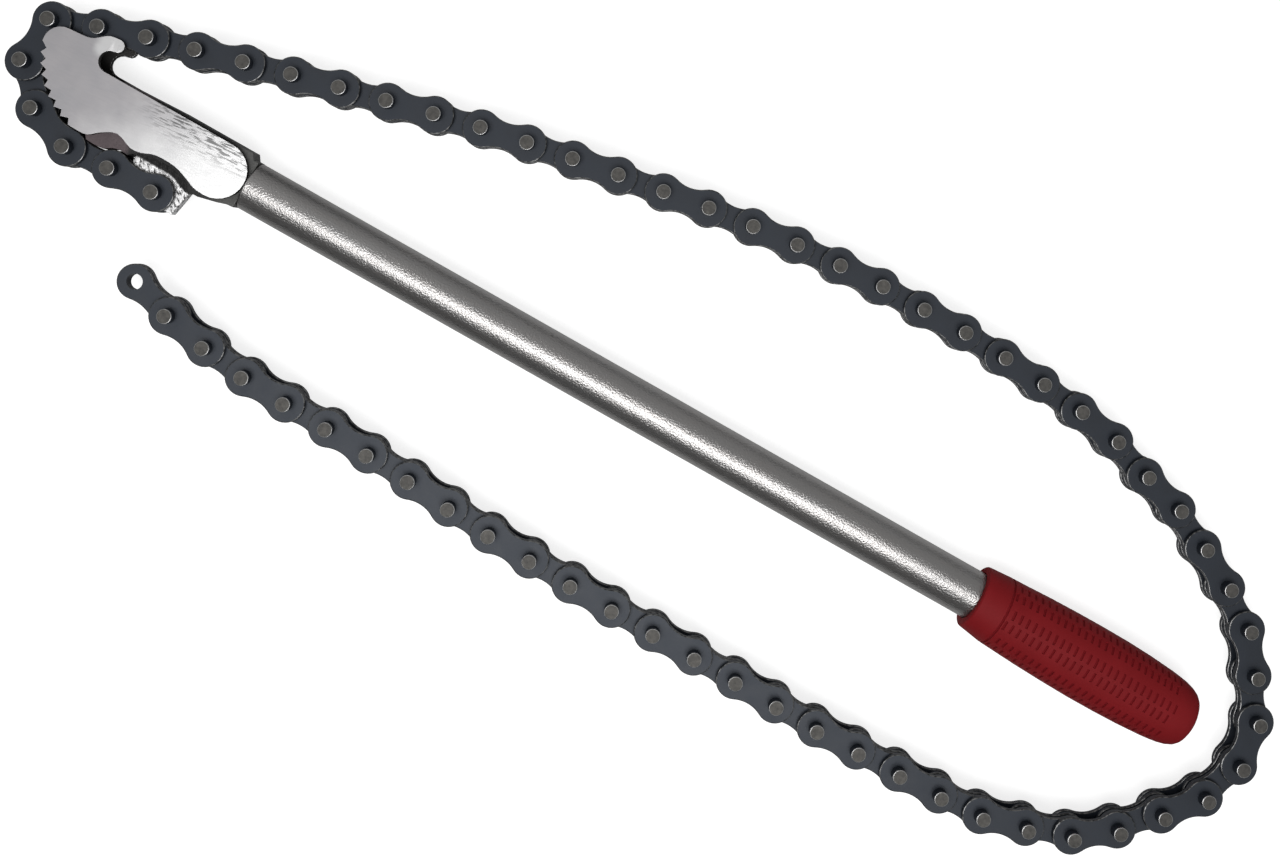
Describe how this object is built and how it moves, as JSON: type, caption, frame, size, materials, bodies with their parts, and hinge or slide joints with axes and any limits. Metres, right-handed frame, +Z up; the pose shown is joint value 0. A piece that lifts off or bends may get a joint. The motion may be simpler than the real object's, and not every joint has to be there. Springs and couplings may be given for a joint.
{
  "type": "chain wrench",
  "caption": "Chain wrench with toothed hook jaws, a steel tube handle with a rubber grip and a long roller-style chain hinged at the head.",
  "frame": {"origin": "on the lower jaw's outer face, on the handle's axis, level with the chain's anchor pin", "axes": "+X along the handle towards the grip, +Y towards the jaws' hook side, +Z up along the chain's pins"},
  "size_m": [0.5751, 0.1822, 0.032],
  "materials": {
    "jaw_steel": "bright ground",
    "core_steel": "dark, as forged",
    "tube_steel": "satin plated",
    "grip_rubber": "matt moulded",
    "chain_steel": "black oxide"
  },
  "bodies": {
    "handle": {"head_core": "core_steel", "upper_jaw": "jaw_steel", "lower_jaw": "jaw_steel", "handle_tube": "tube_steel", "grip": "grip_rubber"},
    "link_01_body": {"link_01": "chain_steel"},
    "link_02_body": {"link_02": "chain_steel"},
    "link_03_body": {"link_03": "chain_steel"},
    "link_04_body": {"link_04": "chain_steel"},
    "link_05_body": {"link_05": "chain_steel"},
    "link_06_body": {"link_06": "chain_steel"},
    "link_07_body": {"link_07": "chain_steel"},
    "links_08_09_body": {"links_08_09": "chain_steel"},
    "link_10_body": {"link_10": "chain_steel"},
    "link_11_body": {"link_11": "chain_steel"},
    "links_12_13_body": {"links_12_13": "chain_steel"},
    "link_14_body": {"link_14": "chain_steel"},
    "link_15_body": {"link_15": "chain_steel"},
    "links_16_17_body": {"links_16_17": "chain_steel"},
    "link_18_body": {"link_18": "chain_steel"},
    "link_19_body": {"link_19": "chain_steel"},
    "links_20_21_body": {"links_20_21": "chain_steel"},
    "link_22_body": {"link_22": "chain_steel"},
    "link_23_body": {"link_23": "chain_steel"},
    "links_24_25_body": {"links_24_25": "chain_steel"},
    "link_26_body": {"link_26": "chain_steel"},
    "link_27_body": {"link_27": "chain_steel"},
    "link_28_body": {"link_28": "chain_steel"},
    "link_29_body": {"link_29": "chain_steel"},
    "link_30_body": {"link_30": "chain_steel"},
    "link_31_body": {"link_31": "chain_steel"},
    "link_32_body": {"link_32": "chain_steel"},
    "link_33_body": {"link_33": "chain_steel"},
    "link_34_body": {"link_34": "chain_steel"},
    "link_35_body": {"link_35": "chain_steel"},
    "link_36_body": {"link_36": "chain_steel"},
    "link_37_body": {"link_37": "chain_steel"},
    "link_38_body": {"link_38": "chain_steel"},
    "link_39_body": {"link_39": "chain_steel"},
    "link_40_body": {"link_40": "chain_steel"},
    "link_41_body": {"link_41": "chain_steel"},
    "link_42_body": {"link_42": "chain_steel"},
    "link_43_body": {"link_43": "chain_steel"},
    "link_44_body": {"link_44": "chain_steel"},
    "link_45_body": {"link_45": "chain_steel"},
    "links_46_47_body": {"links_46_47": "chain_steel"},
    "link_48_body": {"link_48": "chain_steel"},
    "link_49_body": {"link_49": "chain_steel"},
    "links_50_51_body": {"links_50_51": "chain_steel"},
    "link_52_body": {"link_52": "chain_steel"},
    "link_53_body": {"link_53": "chain_steel"},
    "links_54_55_body": {"links_54_55": "chain_steel"},
    "link_56_body": {"link_56": "chain_steel"},
    "link_57_body": {"link_57": "chain_steel"},
    "links_58_59_body": {"links_58_59": "chain_steel"},
    "link_60_body": {"link_60": "chain_steel"},
    "link_61_body": {"link_61": "chain_steel"},
    "link_62_body": {"link_62": "chain_steel"},
    "link_63_body": {"link_63": "chain_steel"},
    "link_64_body": {"link_64": "chain_steel"}
  },
  "joints": [
    {"name": "hinge_01", "type": "hinge", "parent": "handle", "child": "link_01_body", "pos_m": [0, -0.0204, 0.0084], "axis": [0, 0, 1], "range_deg": [-0.4, 1.5]},
    {"name": "hinge_02", "type": "hinge", "parent": "link_01_body", "child": "link_02_body", "pos_m": [-0.01905, -0.02062, 0.0084], "axis": [0, 0, 1], "range_deg": [-0.4, 1.5]},
    {"name": "hinge_03", "type": "hinge", "parent": "link_02_body", "child": "link_03_body", "pos_m": [-0.03806, -0.02181, 0.0084], "axis": [0, 0, 1], "range_deg": [-0.4, 1.5]},
    {"name": "hinge_04", "type": "hinge", "parent": "link_03_body", "child": "link_04_body", "pos_m": [-0.05579, -0.01484, 0.0084], "axis": [0, 0, 1], "range_deg": [-0.4, 1.5]},
    {"name": "hinge_05", "type": "hinge", "parent": "link_04_body", "child": "link_05_body", "pos_m": [-0.06852, -0.00067, 0.0084], "axis": [0, 0, 1], "range_deg": [-0.4, 1.5]},
    {"name": "hinge_06", "type": "hinge", "parent": "link_05_body", "child": "link_06_body", "pos_m": [-0.06714, 0.01833, 0.0084], "axis": [0, 0, 1], "range_deg": [-0.4, 1.5]},
    {"name": "hinge_07", "type": "hinge", "parent": "link_06_body", "child": "link_07_body", "pos_m": [-0.04938, 0.02521, 0.0084], "axis": [0, 0, 1], "range_deg": [-0.4, 1.5]},
    {"name": "hinge_08", "type": "hinge", "parent": "link_07_body", "child": "links_08_09_body", "pos_m": [-0.03123, 0.03099, 0.0084], "axis": [0, 0, 1], "range_deg": [0, 3]},
    {"name": "hinge_10", "type": "hinge", "parent": "links_08_09_body", "child": "link_10_body", "pos_m": [0.00548, 0.0412, 0.0084], "axis": [0, 0, 1], "range_deg": [0, 3]},
    {"name": "hinge_11", "type": "hinge", "parent": "link_10_body", "child": "link_11_body", "pos_m": [0.02382, 0.04635, 0.0084], "axis": [0, 0, 1], "range_deg": [0, 3]},
    {"name": "hinge_12", "type": "hinge", "parent": "link_11_body", "child": "links_12_13_body", "pos_m": [0.04226, 0.05113, 0.0084], "axis": [0, 0, 1], "range_deg": [0, 3]},
    {"name": "hinge_14", "type": "hinge", "parent": "links_12_13_body", "child": "link_14_body", "pos_m": [0.07917, 0.06056, 0.0084], "axis": [0, 0, 1], "range_deg": [0, 4.5]},
    {"name": "hinge_15", "type": "hinge", "parent": "link_14_body", "child": "link_15_body", "pos_m": [0.09767, 0.06512, 0.0084], "axis": [0, 0, 1], "range_deg": [0, 4.5]},
    {"name": "hinge_16", "type": "hinge", "parent": "link_15_body", "child": "links_16_17_body", "pos_m": [0.11632, 0.06902, 0.0084], "axis": [0, 0, 1], "range_deg": [0, 4.5]},
    {"name": "hinge_18", "type": "hinge", "parent": "links_16_17_body", "child": "link_18_body", "pos_m": [0.15379, 0.07591, 0.0084], "axis": [0, 0, 1], "range_deg": [0, 4.5]},
    {"name": "hinge_19", "type": "hinge", "parent": "link_18_body", "child": "link_19_body", "pos_m": [0.17257, 0.0791, 0.0084], "axis": [0, 0, 1], "range_deg": [0, 4.5]},
    {"name": "hinge_20", "type": "hinge", "parent": "link_19_body", "child": "links_20_21_body", "pos_m": [0.19133, 0.08239, 0.0084], "axis": [0, 0, 1], "range_deg": [0, 4.5]},
    {"name": "hinge_22", "type": "hinge", "parent": "links_20_21_body", "child": "link_22_body", "pos_m": [0.22913, 0.08718, 0.0084], "axis": [0, 0, 1], "range_deg": [0, 8]},
    {"name": "hinge_23", "type": "hinge", "parent": "link_22_body", "child": "link_23_body", "pos_m": [0.24813, 0.08856, 0.0084], "axis": [0, 0, 1], "range_deg": [0, 8]},
    {"name": "hinge_24", "type": "hinge", "parent": "link_23_body", "child": "links_24_25_body", "pos_m": [0.26714, 0.08976, 0.0084], "axis": [0, 0, 1], "range_deg": [0, 8]},
    {"name": "hinge_26", "type": "hinge", "parent": "links_24_25_body", "child": "link_26_body", "pos_m": [0.30524, 0.09025, 0.0084], "axis": [0, 0, 1], "range_deg": [0, 8]},
    {"name": "hinge_27", "type": "hinge", "parent": "link_26_body", "child": "link_27_body", "pos_m": [0.32427, 0.08942, 0.0084], "axis": [0, 0, 1], "range_deg": [0, 8]},
    {"name": "hinge_28", "type": "hinge", "parent": "link_27_body", "child": "link_28_body", "pos_m": [0.34326, 0.08794, 0.0084], "axis": [0, 0, 1], "range_deg": [0, 16]},
    {"name": "hinge_29", "type": "hinge", "parent": "link_28_body", "child": "link_29_body", "pos_m": [0.36221, 0.08597, 0.0084], "axis": [0, 0, 1], "range_deg": [0, 16]},
    {"name": "hinge_30", "type": "hinge", "parent": "link_29_body", "child": "link_30_body", "pos_m": [0.38098, 0.0827, 0.0084], "axis": [0, 0, 1], "range_deg": [0, 16]},
    {"name": "hinge_31", "type": "hinge", "parent": "link_30_body", "child": "link_31_body", "pos_m": [0.39897, 0.07642, 0.0084], "axis": [0, 0, 1], "range_deg": [0, 16]},
    {"name": "hinge_32", "type": "hinge", "parent": "link_31_body", "child": "link_32_body", "pos_m": [0.41729, 0.0712, 0.0084], "axis": [0, 0, 1], "range_deg": [0, 16]},
    {"name": "hinge_33", "type": "hinge", "parent": "link_32_body", "child": "link_33_body", "pos_m": [0.43439, 0.06281, 0.0084], "axis": [0, 0, 1], "range_deg": [0, 16]},
    {"name": "hinge_34", "type": "hinge", "parent": "link_33_body", "child": "link_34_body", "pos_m": [0.45106, 0.05359, 0.0084], "axis": [0, 0, 1], "range_deg": [0, 16]},
    {"name": "hinge_35", "type": "hinge", "parent": "link_34_body", "child": "link_35_body", "pos_m": [0.46676, 0.04281, 0.0084], "axis": [0, 0, 1], "range_deg": [0, 16]},
    {"name": "hinge_36", "type": "hinge", "parent": "link_35_body", "child": "link_36_body", "pos_m": [0.47851, 0.02781, 0.0084], "axis": [0, 0, 1], "range_deg": [0, 16]},
    {"name": "hinge_37", "type": "hinge", "parent": "link_36_body", "child": "link_37_body", "pos_m": [0.48881, 0.01178, 0.0084], "axis": [0, 0, 1], "range_deg": [0, 16]},
    {"name": "hinge_38", "type": "hinge", "parent": "link_37_body", "child": "link_38_body", "pos_m": [0.4917, -0.00705, 0.0084], "axis": [0, 0, 1], "range_deg": [0, 16]},
    {"name": "hinge_39", "type": "hinge", "parent": "link_38_body", "child": "link_39_body", "pos_m": [0.48566, -0.02512, 0.0084], "axis": [0, 0, 1], "range_deg": [0, 16]},
    {"name": "hinge_40", "type": "hinge", "parent": "link_39_body", "child": "link_40_body", "pos_m": [0.47336, -0.03967, 0.0084], "axis": [0, 0, 1], "range_deg": [0, 16]},
    {"name": "hinge_41", "type": "hinge", "parent": "link_40_body", "child": "link_41_body", "pos_m": [0.46046, -0.05368, 0.0084], "axis": [0, 0, 1], "range_deg": [0, 16]},
    {"name": "hinge_42", "type": "hinge", "parent": "link_41_body", "child": "link_42_body", "pos_m": [0.44506, -0.06489, 0.0084], "axis": [0, 0, 1], "range_deg": [0, 16]},
    {"name": "hinge_43", "type": "hinge", "parent": "link_42_body", "child": "link_43_body", "pos_m": [0.42694, -0.07079, 0.0084], "axis": [0, 0, 1], "range_deg": [0, 16]},
    {"name": "hinge_44", "type": "hinge", "parent": "link_43_body", "child": "link_44_body", "pos_m": [0.40847, -0.07545, 0.0084], "axis": [0, 0, 1], "range_deg": [0, 16]},
    {"name": "hinge_45", "type": "hinge", "parent": "link_44_body", "child": "link_45_body", "pos_m": [0.38944, -0.07638, 0.0084], "axis": [0, 0, 1], "range_deg": [0, 16]},
    {"name": "hinge_46", "type": "hinge", "parent": "link_45_body", "child": "links_46_47_body", "pos_m": [0.3704, -0.07678, 0.0084], "axis": [0, 0, 1], "range_deg": [0, 14]},
    {"name": "hinge_48", "type": "hinge", "parent": "links_46_47_body", "child": "link_48_body", "pos_m": [0.3323, -0.07731, 0.0084], "axis": [0, 0, 1], "range_deg": [0, 14]},
    {"name": "hinge_49", "type": "hinge", "parent": "link_48_body", "child": "link_49_body", "pos_m": [0.31326, -0.07682, 0.0084], "axis": [0, 0, 1], "range_deg": [0, 14]},
    {"name": "hinge_50", "type": "hinge", "parent": "link_49_body", "child": "links_50_51_body", "pos_m": [0.29422, -0.07623, 0.0084], "axis": [0, 0, 1], "range_deg": [0, 14]},
    {"name": "hinge_52", "type": "hinge", "parent": "links_50_51_body", "child": "link_52_body", "pos_m": [0.25612, -0.07568, 0.0084], "axis": [0, 0, 1], "range_deg": [0, 14]},
    {"name": "hinge_53", "type": "hinge", "parent": "link_52_body", "child": "link_53_body", "pos_m": [0.23707, -0.07531, 0.0084], "axis": [0, 0, 1], "range_deg": [0, 14]},
    {"name": "hinge_54", "type": "hinge", "parent": "link_53_body", "child": "links_54_55_body", "pos_m": [0.21803, -0.07482, 0.0084], "axis": [0, 0, 1], "range_deg": [0, 14]},
    {"name": "hinge_56", "type": "hinge", "parent": "links_54_55_body", "child": "link_56_body", "pos_m": [0.17996, -0.07327, 0.0084], "axis": [0, 0, 1], "range_deg": [0, 14]},
    {"name": "hinge_57", "type": "hinge", "parent": "link_56_body", "child": "link_57_body", "pos_m": [0.16097, -0.07179, 0.0084], "axis": [0, 0, 1], "range_deg": [-2, 14]},
    {"name": "hinge_58", "type": "hinge", "parent": "link_57_body", "child": "links_58_59_body", "pos_m": [0.142, -0.07002, 0.0084], "axis": [0, 0, 1], "range_deg": [-2, 14]},
    {"name": "hinge_60", "type": "hinge", "parent": "links_58_59_body", "child": "link_60_body", "pos_m": [0.10397, -0.0678, 0.0084], "axis": [0, 0, 1], "range_deg": [-4, 20]},
    {"name": "hinge_61", "type": "hinge", "parent": "link_60_body", "child": "link_61_body", "pos_m": [0.08492, -0.06729, 0.0084], "axis": [0, 0, 1], "range_deg": [-6, 30]},
    {"name": "hinge_62", "type": "hinge", "parent": "link_61_body", "child": "link_62_body", "pos_m": [0.0659, -0.0662, 0.0084], "axis": [0, 0, 1], "range_deg": [-10, 45]},
    {"name": "hinge_63", "type": "hinge", "parent": "link_62_body", "child": "link_63_body", "pos_m": [0.04703, -0.06359, 0.0084], "axis": [0, 0, 1], "range_deg": [-30, 60]},
    {"name": "hinge_64", "type": "hinge", "parent": "link_63_body", "child": "link_64_body", "pos_m": [0.02836, -0.05984, 0.0084], "axis": [0, 0, 1], "range_deg": [-90, 100]}
  ]
}
